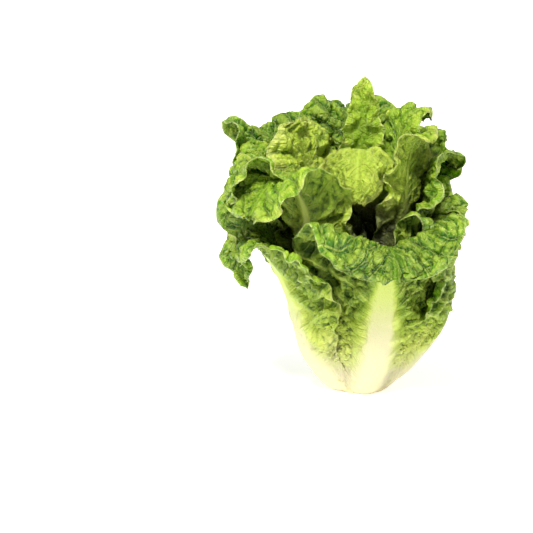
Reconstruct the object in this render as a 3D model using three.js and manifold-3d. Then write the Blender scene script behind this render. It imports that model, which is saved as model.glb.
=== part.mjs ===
// A little gem lettuce: a small cos-type head that stands on its cut base.
// Twenty-one leaves grow round a short conical stem. Each leaf is a thin closed shell with a thick midrib:
// the outer ones bow out like a tulip and fold over at the top, the inner ones stand up round the heart, and
// one of them arches over it as a hood.
//
// Units are millimetres, +Z is up and the origin is the middle of the cut face. -Y is the front of the head.

import * as THREE from "three";
import { ParametricGeometry } from "three/addons/geometries/ParametricGeometry.js";
import { mergeVertices } from "three/addons/utils/BufferGeometryUtils.js";
import Module from "manifold-3d";

const wasm = await Module();
wasm.setup();

// ---- driving dimensions -----------------------------------------------------------------------------

const STEM_RADIUS = 12.5; // of the cut face
const STEM_HEIGHT = 46;
const STEM_SIDES = 24;
const STEM_STEPS = 9; // up its side
const STEM_PROFILE = [[1, 0], [0.98, 0.12], [0.72, 0.45], [0.42, 0.8], [0, 1]]; // of its radius and height
const FIT_GAP = 0.3; // left between neighbours that touch
const BLADE_THICKNESS = 1.1; // of the green blade, away from the midrib
const MARGIN_THICKNESS = 0.6; // of the blade at its edge
const RIB_THICKNESS = 4.2; // of the midrib where it leaves the stem
const RIB_SHARE = 0.42; // of the half width that the midrib's swelling spreads over
const RIB_FADE = 1.2; // power by which that swelling thins towards the tip
const MARGIN_POWER = 4; // how late across the blade it thins towards its edge
const EASED = 0.7; // share of a leaf's widening that is eased, the rest being straight
const STATIONS = 12; // steps along a leaf
const CHORDS = 6; // steps across one face of a leaf
const CUT_BLOCK = [100, 100, 40]; // the block below the cut face that trims the outer leaves flush
const GAP_STEP = 0.02; // that the gap grows by while a cut leaf still touches itself
const SLIVER = 0.1; // edges shorter than this are closed up after cutting
const WELD = 1e-3; // points closer than this are one
const DECIMALS = 4; // of a millimetre that are kept when points are compared

const OUTER_GREEN = { color: 0x5f8f2b, roughness: 0.5, metalness: 0 };
const INNER_GREEN = { color: 0xa8c04a, roughness: 0.5, metalness: 0 };
const STEM_CREAM = { color: 0xeee8b8, roughness: 0.55, metalness: 0 };

// ---- the leaves -------------------------------------------------------------------------------------
// turn    degrees round the stem from the front, positive towards +X
// spine   the midrib from stem to tip, as [distance out from the stem's axis, height, drift sideways]
// neck    half width at the stem; wide: the greatest half width; peak: where along the leaf it comes
// blunt   2 is a round tip, less is pointed
// cup     how far each half bends round the head, in degrees, at the stem, the middle and the tip
// edge    how much further the outer part of each half bends there; less than 0 turns outwards
// twist   degrees that the blade turns about its midrib by the tip; heart: true for the paler leaves inside
// Leaves are listed from the outside in, and each one gives way to those listed before it.

const LEAVES = {
  leaf_left_outer: {
    turn: -79, wide: 41, neck: 16, peak: 0.66, blunt: 2.2, cup: [62, 50, 16], edge: [0, -12, -34],
    spine: [
      [9, -4], [12, 1], [19, 8], [28, 20], [32.5, 33], [36, 46], [42, 60], [50, 72], [58, 77], [64, 69],
    ],
  },
  leaf_front_outer: {
    turn: 10, wide: 39, neck: 17, peak: 0.68, blunt: 2.4, cup: [62, 58, 26], edge: [0, -6, -24],
    spine: [
      [9, -4], [12, 1], [18, 8], [26, 20, 1], [32, 36, 2], [37, 55, 3], [42, 70, 3], [48, 79, 3],
      [55, 80, 2], [61, 74, 2], [63, 66, 2],
    ],
  },
  leaf_right_outer: {
    turn: 92, wide: 36, neck: 16, peak: 0.68, blunt: 2.2, cup: [60, 48, 20], edge: [0, -8, -20],
    spine: [
      [9, -4], [11.5, 1], [15, 6], [23, 12], [34, 24], [41, 35], [44.5, 46], [45, 58], [44, 70], [44, 82],
      [47, 90],
    ],
  },
  leaf_back_outer: {
    turn: 178, wide: 43, neck: 17, peak: 0.7, blunt: 2.2, cup: [62, 54, 24], edge: [0, -6, -24],
    spine: [[9, -4], [12, 1], [18, 8], [27, 20], [35, 38], [40, 60], [46, 82], [54, 98], [64, 102], [71, 94]],
  },
  leaf_left_drooping: {
    turn: -96, wide: 17, neck: 11, peak: 0.62, blunt: 1.8, cup: [50, 32, 20], edge: [0, 4, 10], twist: -50,
    spine: [[11, 6], [19, 14], [27, 29], [33, 48], [40, 66], [49, 81], [56, 84], [61, 74], [58, 54]],
  },
  leaf_right_back: {
    turn: 132, wide: 31, neck: 12, peak: 0.7, blunt: 2.2, cup: [54, 46, 20], edge: [0, -4, -16],
    spine: [[11, 4], [19, 12], [28, 26], [34, 46], [36, 70], [36, 94], [38, 112], [42, 123], [47, 127]],
  },
  leaf_left_back: {
    turn: -134, wide: 34, neck: 12, peak: 0.7, blunt: 2.2, cup: [54, 46, 20], edge: [0, -4, -16],
    spine: [[11, 4], [19, 13], [28, 30], [35, 54], [42, 80], [51, 104], [61, 120], [71, 126], [79, 120]],
  },
  leaf_front_left: {
    turn: -56, wide: 33, neck: 12, peak: 0.74, blunt: 2.4, cup: [58, 52, 6], edge: [0, -4, -20],
    spine: [[10, 8], [17, 18], [24, 36], [28, 58], [31, 84], [37, 103], [47, 112], [58, 108], [67, 95]],
  },
  leaf_front_right: {
    turn: 58, wide: 30, neck: 12, peak: 0.7, blunt: 2.4, cup: [58, 50, 10], edge: [0, -4, -24],
    spine: [[10, 8], [18, 18], [26, 34], [31, 54], [33, 72], [35, 83], [40, 88], [46, 83], [49, 73]],
  },
  leaf_back_left_tall: {
    turn: -172, wide: 30, neck: 11, peak: 0.7, blunt: 2.2, cup: [54, 44, 16], edge: [0, -4, -20],
    spine: [[10, 8], [17, 19], [25, 36], [30, 60], [32, 86], [34, 110], [37, 129], [44, 139], [52, 139]],
  },
  leaf_left_inner: {
    turn: -86, wide: 32, neck: 11, peak: 0.7, blunt: 2.4, cup: [54, 40, 4], edge: [0, -4, -20],
    spine: [[9, 12], [15, 22], [22, 40], [27, 62], [33, 84], [41, 102], [52, 112], [62, 108], [67, 96]],
  },
  leaf_right_inner: {
    turn: 100, wide: 28, neck: 11, peak: 0.68, blunt: 2.2, cup: [54, 40, 14], edge: [0, -4, -20],
    spine: [[9, 12], [15, 22], [24, 40], [29, 62], [31, 84], [33, 102], [37, 113], [43, 116], [48, 110]],
  },
  leaf_yellow_roll: {
    turn: -120, wide: 32, neck: 10, peak: 0.7, blunt: 2.4, cup: [54, 40, 4], edge: [0, -4, -20], heart: true,
    spine: [[8, 17], [13, 27], [19, 45], [23, 68], [27, 92], [31, 110], [34, 121], [36, 128], [34, 132]],
  },
  leaf_back_inner: {
    turn: 158, wide: 26, neck: 10, peak: 0.68, blunt: 2.2, cup: [54, 42, 10], edge: [0, -4, -20], heart: true,
    spine: [[8, 15], [13, 25], [20, 44], [24, 68], [26, 90], [29, 106], [34, 116], [41, 120], [47, 117]],
  },
  leaf_right_folded: {
    turn: 58, wide: 26, neck: 9, peak: 0.68, blunt: 2.2, cup: [54, 46, 10], edge: [0, -4, -24], heart: true,
    spine: [[7, 18], [11, 28], [17, 48], [21, 72], [23, 96], [25, 118], [30, 131], [38, 130]],
  },
  leaf_top_curl: {
    turn: 112, wide: 21, neck: 9, peak: 0.66, blunt: 2.2, cup: [54, 40, 6], edge: [0, -4, -30], heart: true,
    spine: [[7, 18], [11, 28], [15, 48], [17, 74], [18, 100], [19, 122], [23, 136], [30, 141], [36, 136]],
  },
  leaf_bubble: {
    turn: 172, wide: 23, neck: 9, peak: 0.68, blunt: 2.4, cup: [54, 44, 60], edge: [0, 0, 10], heart: true,
    spine: [
      [5, 21], [7, 31], [9, 50], [9, 72], [5, 96], [-4, 115], [-15, 123], [-25, 119], [-30, 108], [-29, 98],
    ],
  },
  leaf_top_tip: {
    turn: 176, wide: 12, neck: 8, peak: 0.62, blunt: 1.4, cup: [54, 36, 12], edge: [0, 0, -10], heart: true,
    spine: [[8, 22], [12, 34], [16, 56], [17, 82], [15, 108], [11, 132], [5, 155]],
  },
  leaf_heart_left: {
    turn: -70, wide: 20, neck: 7, peak: 0.62, blunt: 2.2, cup: [52, 50, 30], edge: [0, 0, 0], heart: true,
    spine: [[5, 26], [8, 38], [10, 54], [10, 72], [6, 88]],
  },
  leaf_heart_back: {
    turn: 140, wide: 17, neck: 6, peak: 0.62, blunt: 2.2, cup: [52, 50, 30], edge: [0, 0, 0], heart: true,
    spine: [[4, 30], [6, 40], [7, 54], [6, 70], [2, 84]],
  },
  leaf_heart_front: {
    turn: 10, wide: 14, neck: 5, peak: 0.6, blunt: 2.2, cup: [52, 50, 30], edge: [0, 0, 0], heart: true,
    spine: [[3, 34], [5, 44], [6, 54], [5, 66], [2, 74]],
  },
};

// ---- leaf surface -----------------------------------------------------------------------------------

const mix = (a, b, t) => a + (b - a) * t;
const smooth = (t) => t * t * (3 - 2 * t);
const radians = THREE.MathUtils.degToRad;

// A value given at the stem, the middle and the tip, read at s from 0 to 1.
function along([stem, middle, tip], s) {
  return s < 0.5 ? mix(stem, middle, smooth(2 * s)) : mix(middle, tip, smooth(2 * s - 1));
}

function halfWidth(leaf, s) {
  const below = s / leaf.peak;
  if (below < 1) return mix(leaf.neck, leaf.wide, mix(below, smooth(below), EASED));
  const beyond = (s - leaf.peak) / (1 - leaf.peak);
  return leaf.wide * Math.sqrt(1 - beyond ** leaf.blunt);
}

// The midrib in space, with the unit vectors along it, across the blade and up from its inner face.
function spineFrames(leaf) {
  const turn = radians(leaf.turn);
  const outward = new THREE.Vector3(Math.sin(turn), -Math.cos(turn), 0);
  const sideways = new THREE.Vector3(Math.cos(turn), Math.sin(turn), 0);
  const points = leaf.spine.map(([out, up, drift = 0]) =>
    outward.clone().multiplyScalar(out).addScaledVector(sideways, drift).setZ(up),
  );
  const curve = new THREE.CatmullRomCurve3(points, false, "centripetal");
  return Array.from({ length: STATIONS + 1 }, (_, i) => {
    const s = i / STATIONS;
    const tangent = curve.getTangentAt(s);
    const across = sideways.clone().applyAxisAngle(tangent, radians(leaf.twist ?? 0) * smooth(s));
    across.addScaledVector(tangent, -across.dot(tangent)).normalize();
    const inward = new THREE.Vector3().crossVectors(tangent, across).normalize();
    return { point: curve.getPointAt(s), across, inward };
  });
}

// One cross-section: points from the left margin to the right one, each with its normal.
function section(leaf, frame, s) {
  const width = halfWidth(leaf, s);
  const half = (side) => {
    const found = [{ x: 0, y: 0, angle: 0 }];
    for (let i = 1; i <= CHORDS / 2; i++) {
      const t = i / (CHORDS / 2);
      const step = width / (CHORDS / 2);
      const angle = radians(along(leaf.cup, s) * t + along(leaf.edge, s) * t * t * t);
      const last = found.at(-1);
      found.push({ x: last.x + step * Math.cos(angle), y: last.y + step * Math.sin(angle), angle });
    }
    return found.map(({ x, y, angle }) => ({ x: side * x, y, angle: side * angle }));
  };
  const { point, across, inward } = frame;
  return [...half(-1).slice(1).reverse(), ...half(1)].map(({ x, y, angle }) => ({
    point: point.clone().addScaledVector(across, x).addScaledVector(inward, y),
    normal: inward.clone().multiplyScalar(Math.cos(angle)).addScaledVector(across, -Math.sin(angle)),
  }));
}

// Half the shell's thickness at s along the leaf and v across it, from -1 to 1.
function halfThickness(s, v) {
  const rib = RIB_THICKNESS * (1 - s) ** RIB_FADE * Math.exp(-((v / RIB_SHARE) ** 2));
  const blade = mix(BLADE_THICKNESS, MARGIN_THICKNESS, v ** MARGIN_POWER);
  return (blade + rib) / 2;
}

// The leaf as a closed solid, grown on every side by extra.
function leafSolid(leaf, extra = 0) {
  const grown = { ...leaf, wide: leaf.wide + extra, neck: leaf.neck + extra };
  const rows = spineFrames(leaf).map((frame, i) => section(grown, frame, i / STATIONS));
  const faceSteps = CHORDS + 1;
  // A ring runs over the outer face from left to right, then back along the inner face. The first ring is the
  // middle of the stem end and the last one is the tip, so the shell is closed at both ends.
  const onRing = (u, w, target) => {
    const i = Math.max(0, Math.round(w * (STATIONS + 1)) - 1);
    const step = Math.round(u * 2 * faceSteps) % (2 * faceSteps);
    const [k, face] = step < faceSteps ? [step, -1] : [2 * faceSteps - 1 - step, 1];
    if (w === 0 || i === STATIONS) return target.copy(rows[i][CHORDS / 2].point);
    const { point, normal } = rows[i][k];
    const depth = halfThickness(i / STATIONS, (2 * k) / CHORDS - 1) + extra;
    return target.copy(point).addScaledVector(normal, face * depth);
  };
  return solidOf(new ParametricGeometry(onRing, 2 * faceSteps, STATIONS + 1));
}

// ---- solids -----------------------------------------------------------------------------------------

// A closed three.js geometry as a manifold-3d solid. Triangles with no area, which come where a ring closes
// to a point, are left out.
function solidOf(geometry) {
  geometry.deleteAttribute("normal");
  geometry.deleteAttribute("uv");
  const merged = mergeVertices(geometry, WELD);
  const triangles = [];
  for (let i = 0; i < merged.index.count; i += 3) {
    const [a, b, c] = [0, 1, 2].map((k) => merged.index.getX(i + k));
    if (a !== b && b !== c && c !== a) triangles.push(a, b, c);
  }
  return new wasm.Manifold(
    new wasm.Mesh({
      numProp: 3,
      vertProperties: merged.attributes.position.array,
      triVerts: new Uint32Array(triangles),
    }),
  );
}

function geometryOf(solid) {
  const { vertProperties, triVerts } = solid.getMesh();
  return new THREE.BufferGeometry()
    .setAttribute("position", new THREE.BufferAttribute(vertProperties, 3))
    .setIndex(new THREE.BufferAttribute(triVerts, 1));
}

// The stem: a cone with a flat cut face and a rounded growing tip, larger on every side by extra.
function stemSolid(extra = 0) {
  const profile = new THREE.CatmullRomCurve3(
    STEM_PROFILE.map(([across, up]) => new THREE.Vector3(STEM_RADIUS * across, STEM_HEIGHT * up, 0)),
  );
  const side = profile.getPoints(STEM_STEPS).map(({ x, y }) => new THREE.Vector2(x + extra, y + extra));
  side.at(-1).x = 0;
  const foot = [new THREE.Vector2(0, -extra), new THREE.Vector2(STEM_RADIUS + extra, -extra)];
  const turned = new THREE.LatheGeometry([...foot, ...side], STEM_SIDES);
  return solidOf(turned.rotateX(Math.PI / 2));
}

// The block below the cut face: what it removes leaves the outer leaves flush with the stem.
function floorBlock() {
  return solidOf(new THREE.BoxGeometry(...CUT_BLOCK).translate(0, 0, -CUT_BLOCK[2] / 2));
}

// The largest single body of a solid that cutting may have left in several.
function largestBody(solid) {
  return solid.decompose().reduce((best, body) => (body.volume() > best.volume() ? body : best));
}

// Whether every edge joins exactly two triangles, which it doesn't where a solid touches itself.
function edgesPairUp(solid) {
  const { vertProperties, triVerts } = solid.getMesh();
  const place = (corner) => [0, 1, 2].map((k) => vertProperties[3 * corner + k].toFixed(DECIMALS)).join();
  const uses = new Map();
  triVerts.forEach((corner, i) => {
    const next = triVerts[i % 3 === 2 ? i - 2 : i + 1];
    const edge = [place(corner), place(next)].sort().join(" ");
    uses.set(edge, (uses.get(edge) ?? 0) + 1);
  });
  return [...uses.values()].every((count) => count === 2);
}

// A leaf cut back from the stem, from the floor and from the earlier leaves, as one body that touches itself
// nowhere: the gap is widened a little at a time until that is so.
function fittedLeaf(leaf, earlier) {
  for (let gap = FIT_GAP; gap < 2 * FIT_GAP; gap += GAP_STEP) {
    const taken = [floorBlock(), stemSolid(gap), ...earlier.map((other) => leafSolid(other, gap))];
    const cut = taken.reduce((solid, cutter) => solid.subtract(cutter), leafSolid(leaf));
    const body = largestBody(solidOf(geometryOf(cut.simplify(SLIVER))));
    if (edgesPairUp(body)) return body;
  }
  throw new Error("a cut leaf still touches itself");
}

// ---- the head ---------------------------------------------------------------------------------------

function piece(name, solid, look) {
  const mesh = new THREE.Mesh(geometryOf(solid), new THREE.MeshStandardMaterial(look));
  mesh.name = name;
  return mesh;
}

const head = new THREE.Group();
head.add(piece("stem", stemSolid(), STEM_CREAM));
Object.entries(LEAVES).forEach(([name, leaf], place, all) => {
  const earlier = all.slice(0, place).map(([, other]) => other);
  head.add(piece(name, fittedLeaf(leaf, earlier), leaf.heart ? INNER_GREEN : OUTER_GREEN));
});

export default head;
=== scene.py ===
"""A little gem lettuce standing on its cut base: twenty-one crinkled leaves round a short stem.

Each leaf starts as a smooth ribbed blade over its CAD solid. Its blade is then grown a little too large for
its midrib and relaxed as a sheet, which throws the margins into ruffles, with the leaves held apart as they
nest. Last come the veins, the blisters between them and the wrinkles beside the midrib, and a closed skin of
leaf thickness.
"""

import math

import bpy
import numpy as np
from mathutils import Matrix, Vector


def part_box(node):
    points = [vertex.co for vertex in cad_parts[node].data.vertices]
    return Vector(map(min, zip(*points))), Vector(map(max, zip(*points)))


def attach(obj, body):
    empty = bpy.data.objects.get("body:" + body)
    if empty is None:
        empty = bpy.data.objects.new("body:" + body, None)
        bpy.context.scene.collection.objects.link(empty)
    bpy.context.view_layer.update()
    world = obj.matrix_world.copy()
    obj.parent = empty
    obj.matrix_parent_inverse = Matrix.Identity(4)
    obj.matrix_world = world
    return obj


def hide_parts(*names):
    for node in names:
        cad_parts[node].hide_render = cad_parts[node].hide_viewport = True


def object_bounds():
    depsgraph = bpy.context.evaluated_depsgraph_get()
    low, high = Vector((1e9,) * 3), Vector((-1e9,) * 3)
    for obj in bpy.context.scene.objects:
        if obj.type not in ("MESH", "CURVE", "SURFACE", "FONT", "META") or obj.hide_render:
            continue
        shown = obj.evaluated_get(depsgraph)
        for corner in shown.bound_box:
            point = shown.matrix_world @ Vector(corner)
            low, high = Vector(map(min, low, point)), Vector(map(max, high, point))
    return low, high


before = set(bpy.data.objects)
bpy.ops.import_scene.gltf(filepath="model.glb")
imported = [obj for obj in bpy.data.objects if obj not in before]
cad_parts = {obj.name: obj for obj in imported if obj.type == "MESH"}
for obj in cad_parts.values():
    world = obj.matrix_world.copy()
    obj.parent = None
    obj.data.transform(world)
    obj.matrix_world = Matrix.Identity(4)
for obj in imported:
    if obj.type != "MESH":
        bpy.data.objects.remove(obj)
cad_low, cad_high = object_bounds()

# Leaves are drawn for a head 155 units tall, so that a unit is about a millimetre. Lengths below are in
# these units, except where they are said to be in metres.
HEAD_HEIGHT = 155
UNIT = (cad_high.z - cad_low.z) / HEAD_HEIGHT

# ---- the leaves ------------------------------------------------------------------------------------
# turn    degrees round the stem from the front, positive towards +X
# spine   the midrib from stem to tip: distance out, height, drift sideways
# neck, wide, peak, blunt    half width at the stem, the greatest, where it comes, how round the tip is
# cup     degrees that each half bends round the head, at the stem, the middle and the tip
# edge    how much further the outer part of each half bends there
# twist   degrees that the blade turns about its midrib by the tip
# sides   how wide the left and the right half are beside that
# rib     how wide the midrib is beside the others; ribbed: how far along it starts to narrow
# relief  how deep the blisters and wrinkles are beside the others
# grow    how much longer the margin grows than the midrib, as a share
# tone    0 for the darkest outer green, 1 for the yellow heart
# Leaves are listed from the outside in.

USUAL = dict(twist=0, sides=(1, 1), rib=1, ribbed=0.42, relief=1)  # unless a leaf says otherwise
LEAVES = {
    "leaf_left_outer": dict(
        turn=-79, wide=41, neck=16, peak=0.66, blunt=2.2, cup=(62, 50, 16), edge=(0, -12, -34),
        rib=2.2, ribbed=0.58, grow=0.16, tone=0.25,
        spine=[
            (9, -4), (12, 1), (19, 8), (28, 20), (32.5, 33), (36, 46), (42, 60), (50, 72), (58, 77),
            (64, 69),
        ],
    ),
    "leaf_front_outer": dict(
        turn=10, wide=39, neck=17, peak=0.68, blunt=2.4, cup=(62, 58, 26), edge=(0, -6, -24),
        rib=1.05, sides=(1.12, 0.95), grow=0.14, tone=0.0,
        spine=[
            (9, -4), (12, 1), (18, 8), (26, 20, 1), (32, 36, 2), (37, 55, 3), (42, 70, 3), (48, 79, 3),
            (55, 80, 2), (61, 74, 2), (63, 66, 2),
        ],
    ),
    "leaf_right_outer": dict(
        turn=92, wide=36, neck=16, peak=0.68, blunt=2.2, cup=(60, 48, 20), edge=(0, -8, -20),
        grow=0.35, tone=0.1,
        spine=[
            (9, -4), (11.5, 1), (15, 6), (23, 12), (34, 24), (41, 35), (44.5, 46), (45, 58), (44, 70),
            (44, 82), (47, 90),
        ],
    ),
    "leaf_back_outer": dict(
        turn=178, wide=43, neck=17, peak=0.7, blunt=2.2, cup=(62, 54, 24), edge=(0, -6, -24),
        grow=0.35, tone=0.1,
        spine=[
            (9, -4), (12, 1), (18, 8), (27, 20), (35, 38), (40, 60), (46, 82), (54, 98), (64, 102), (71, 94),
        ],
    ),
    "leaf_left_drooping": dict(
        turn=-96, wide=17, neck=11, peak=0.62, blunt=1.8, cup=(50, 32, 20), edge=(0, 4, 10),
        sides=(0.95, 0.7), twist=-50, grow=0.4, tone=0.0,
        spine=[(11, 6), (19, 14), (27, 29), (33, 48), (40, 66), (49, 81), (56, 84), (61, 74), (58, 54)],
    ),
    "leaf_right_back": dict(
        turn=132, wide=31, neck=12, peak=0.7, blunt=2.2, cup=(54, 46, 20), edge=(0, -4, -16),
        grow=0.45, tone=0.0,
        spine=[(11, 4), (19, 12), (28, 26), (34, 46), (36, 70), (36, 94), (38, 112), (42, 123), (47, 127)],
    ),
    "leaf_left_back": dict(
        turn=-134, wide=34, neck=12, peak=0.7, blunt=2.2, cup=(54, 46, 20), edge=(0, -4, -16),
        grow=0.4, tone=0.05,
        spine=[(11, 4), (19, 13), (28, 30), (35, 54), (42, 80), (51, 104), (61, 120), (71, 126), (79, 120)],
    ),
    "leaf_front_left": dict(
        turn=-56, wide=33, neck=12, peak=0.74, blunt=2.4, cup=(58, 52, 6), edge=(0, -4, -20),
        sides=(1.15, 0.8), grow=0.3, tone=0.45, relief=0.75,
        spine=[(10, 8), (17, 18), (24, 36), (28, 58), (31, 84), (37, 103), (47, 112), (58, 108), (67, 95)],
    ),
    "leaf_front_right": dict(
        turn=58, wide=30, neck=12, peak=0.7, blunt=2.4, cup=(58, 50, 10), edge=(0, -4, -24),
        sides=(0.62, 1.2), grow=0.4, tone=0.15,
        spine=[(10, 8), (18, 18), (26, 34), (31, 54), (33, 72), (35, 83), (40, 88), (46, 83), (49, 73)],
    ),
    "leaf_back_left_tall": dict(
        turn=-172, wide=30, neck=11, peak=0.7, blunt=2.2, cup=(54, 44, 16), edge=(0, -4, -20),
        grow=0.4, tone=0.05,
        spine=[(10, 8), (17, 19), (25, 36), (30, 60), (32, 86), (34, 110), (37, 129), (44, 139), (52, 139)],
    ),
    "leaf_left_inner": dict(
        turn=-86, wide=32, neck=11, peak=0.7, blunt=2.4, cup=(54, 40, 4), edge=(0, -4, -20),
        grow=0.4, tone=0.3,
        spine=[(9, 12), (15, 22), (22, 40), (27, 62), (33, 84), (41, 102), (52, 112), (62, 108), (67, 96)],
    ),
    "leaf_right_inner": dict(
        turn=100, wide=28, neck=11, peak=0.68, blunt=2.2, cup=(54, 40, 14), edge=(0, -4, -20),
        grow=0.4, tone=0.2,
        spine=[(9, 12), (15, 22), (24, 40), (29, 62), (31, 84), (33, 102), (37, 113), (43, 116), (48, 110)],
    ),
    "leaf_yellow_roll": dict(
        turn=-120, wide=32, neck=10, peak=0.7, blunt=2.4, cup=(54, 40, 4), edge=(0, -4, -20),
        rib=0.6, grow=0.4, tone=0.95, relief=0.6,
        spine=[(8, 17), (13, 27), (19, 45), (23, 68), (27, 92), (31, 110), (34, 121), (36, 128), (34, 132)],
    ),
    "leaf_back_inner": dict(
        turn=158, wide=26, neck=10, peak=0.68, blunt=2.2, cup=(54, 42, 10), edge=(0, -4, -20),
        grow=0.4, tone=0.3,
        spine=[(8, 15), (13, 25), (20, 44), (24, 68), (26, 90), (29, 106), (34, 116), (41, 120), (47, 117)],
    ),
    "leaf_right_folded": dict(
        turn=58, wide=26, neck=9, peak=0.68, blunt=2.2, cup=(54, 46, 10), edge=(0, -4, -24),
        rib=0.5, sides=(0.62, 1.1), grow=0.3, tone=0.7, relief=0.5,
        spine=[(7, 18), (11, 28), (17, 48), (21, 72), (23, 96), (25, 118), (30, 131), (38, 130)],
    ),
    "leaf_top_curl": dict(
        turn=112, wide=21, neck=9, peak=0.66, blunt=2.2, cup=(54, 40, 6), edge=(0, -4, -30),
        grow=0.2, tone=0.5, relief=0.7,
        spine=[
            (7, 18), (11, 28), (15, 48), (17, 74), (18, 100), (19, 122), (23, 136), (30, 141), (36, 136),
        ],
    ),
    "leaf_bubble": dict(
        turn=172, wide=23, neck=9, peak=0.68, blunt=2.4, cup=(54, 44, 60), edge=(0, 0, 10),
        rib=0.4, grow=0.12, tone=0.9, relief=0.45,
        spine=[
            (5, 21), (7, 31), (9, 50), (9, 72), (5, 96), (-4, 115), (-15, 123), (-25, 119), (-30, 108),
            (-29, 98),
        ],
    ),
    "leaf_top_tip": dict(
        turn=176, wide=12, neck=8, peak=0.62, blunt=1.4, cup=(54, 36, 12), edge=(0, 0, -10),
        rib=0.35, grow=0.08, tone=0.6, relief=0.15,
        spine=[(8, 22), (12, 34), (16, 56), (17, 82), (15, 108), (11, 132), (5, 155)],
    ),
    "leaf_heart_left": dict(
        turn=-70, wide=20, neck=7, peak=0.62, blunt=2.2, cup=(52, 50, 30), edge=(0, 0, 0),
        grow=0.2, tone=0.4,
        spine=[(5, 26), (8, 38), (10, 54), (10, 72), (6, 88)],
    ),
    "leaf_heart_back": dict(
        turn=140, wide=17, neck=6, peak=0.62, blunt=2.2, cup=(52, 50, 30), edge=(0, 0, 0),
        grow=0.2, tone=0.5,
        spine=[(4, 30), (6, 40), (7, 54), (6, 70), (2, 84)],
    ),
    "leaf_heart_front": dict(
        turn=10, wide=14, neck=5, peak=0.6, blunt=2.2, cup=(52, 50, 30), edge=(0, 0, 0),
        grow=0.2, tone=0.5,
        spine=[(3, 34), (5, 44), (6, 54), (5, 66), (2, 74)],
    ),
}
LEAVES = {name: {**USUAL, **leaf} for name, leaf in LEAVES.items()}
HEART_SLOT = {
    "leaf_yellow_roll", "leaf_back_inner", "leaf_right_folded", "leaf_top_curl", "leaf_bubble",
    "leaf_top_tip", "leaf_heart_left", "leaf_heart_back", "leaf_heart_front",
}
HIDDEN_DEEP = {  # these are drawn less finely
    "leaf_heart_left", "leaf_heart_back", "leaf_heart_front", "leaf_back_inner", "leaf_right_inner",
}

# ---- how they are drawn ----------------------------------------------------------------------------

ROWS, COLS = 43, 33  # points along and across a leaf while it grows
REFINE, REFINE_DEEP = 3, 2  # how much finer its skin is, and that of a leaf deep inside
LAST_ROW = 0.992  # the blade stops just short of a point, where its tip is still a little wide
EASED, STRAIGHT = 0.7, 0.3  # shares of a blade's widening that are eased and straight
CURVE_STEPS = 24  # between two points of a curve

# Growth. A spring is given as its span in points, the grid's axis that it runs along, and its stiffness.
SPRINGS = ((1, 1, 0.3), (1, 2, 0.3), (2, 1, 0.05), (2, 2, 0.06), (4, 1, 0.01), (4, 2, 0.01))
DIAGONAL = 0.12  # stiffness of the springs across each square
GROWN_FROM, GROWN_OVER = 0.22, 0.35  # where along a leaf its margin starts to grow, and over how much
GROWN_POWER = 2.2  # how late across the blade that growth comes
PATCHY, PATCH_SIZE, PATCH_SPREAD = 0.1, 11, 1.3  # growth in patches, their size, and how unlike they are
START_WAVE, WAVE_SIZE = 2.2, 10  # height and size of the waves that the ruffles start from
PATCH_RISE, WAVE_RISE = 3, 1.5  # how fast patches and waves come in across the blade
WAVE_FROM, WAVE_OVER = 0.15, 0.3  # where along a leaf those waves start, and over how much
LOOSE, HELD = 0.004, 0.6  # how firmly the blade keeps to where it is drawn, and the midrib and the foot
HELD_ACROSS, HELD_ALONG = 0.22, 0.3  # how far from the midrib and the foot that hold reaches
STEPS = 240  # of the relaxation
PACE = 0.5  # share of each step's move that is made
ALONE = 20  # steps before the leaves start to push each other apart
SEARCH = 30  # steps between searches for neighbours
LAYER_GAP = 1.6  # between neighbouring leaves
REACH = 4.5  # how near two leaves come before they are checked for that gap
BESIDE = 2.6  # how far to the side of a point another leaf's point still counts
MOST_PUSH, PUSH = 1.2, 0.45  # the largest lack of room made up at once, and the share of it that is
LOWEST = 1.5  # height that the ruffles stay above, where the blade is drawn above it

# Veins and relief. Heights are those at a relief of 1.
LATERAL, LADDER = 9.0, 6.5  # spacing of the side veins, and of the veins between them
VEIN_BEND, VEIN_BEND_SIZE = 0.42, 17  # how far the side veins stray, in spacings, and over what size
RUNG_BEND, RUNG_BEND_SIZE = 0.75, 12  # the same for the veins between them
STRAIGHTENED = 0.55  # slope of a side vein at the margin, beside that at the midrib
LATERAL_WIDTH, LADDER_WIDTH = 0.26, 0.22  # of the furrow along each vein, in spacings
LADDER_DEPTH = 0.65  # of the furrows between the side veins, beside those along them
UPPER_FROM, UPPER_OVER = 0.28, 0.35  # where along a leaf the blisters start, and over how much
BLISTER = 2.3  # height between the veins
CRINKLE, CRINKLE_SIZE = 0.55, 3.6  # height and size of the fine unevenness
PLEAT, PLEATS = 1.8, 2.8  # height of the pleats beside the midrib, and how many go to a side vein
PLEAT_FROM, PLEAT_WIDTH = 0.12, 0.2  # where along a leaf they start, and how wide their furrows are
CRUMPLE, CRUMPLE_SIZE = 2.0, 9  # height and size of the larger unevenness
SPLIT, SPLIT_SIZE, SPLIT_WIDTH = 1.2, 11, 0.13  # depth, size and width of the creases that cross it
SUNK = 0.7  # how far the whole blistered blade lies below the midrib
RIPPLE, RIPPLE_SIZE, RIPPLE_REACH = 2.2, 5.5, 7  # height, size and reach of the margin's ripples
FRAY, FRAY_SIZE = 0.8, 2.4  # how far the margin's outline wavers, and over what size
EDGE_BAND = 2.5  # width of the margin, where the relief dies out and the outline wavers
RIB_BAND = 5  # width over which the relief comes in beside the midrib
RIB_NARROWS = 0.45  # share of a leaf's length that its midrib narrows over
PROUD_HEIGHT = 0.6  # above its surroundings that counts as standing fully proud
PROUD_ROUNDS = 8  # of smoothing that give those surroundings
# Painted shade: the inside of the head is painted darker below a height and near the axis.
DEEP_TOP, DEEP_FADE = 104, 20  # height below which the inside of the head is dark, and over how much
DEEP_RADIUS, DEEP_EDGE = 44, 12  # and how far from the axis

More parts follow.
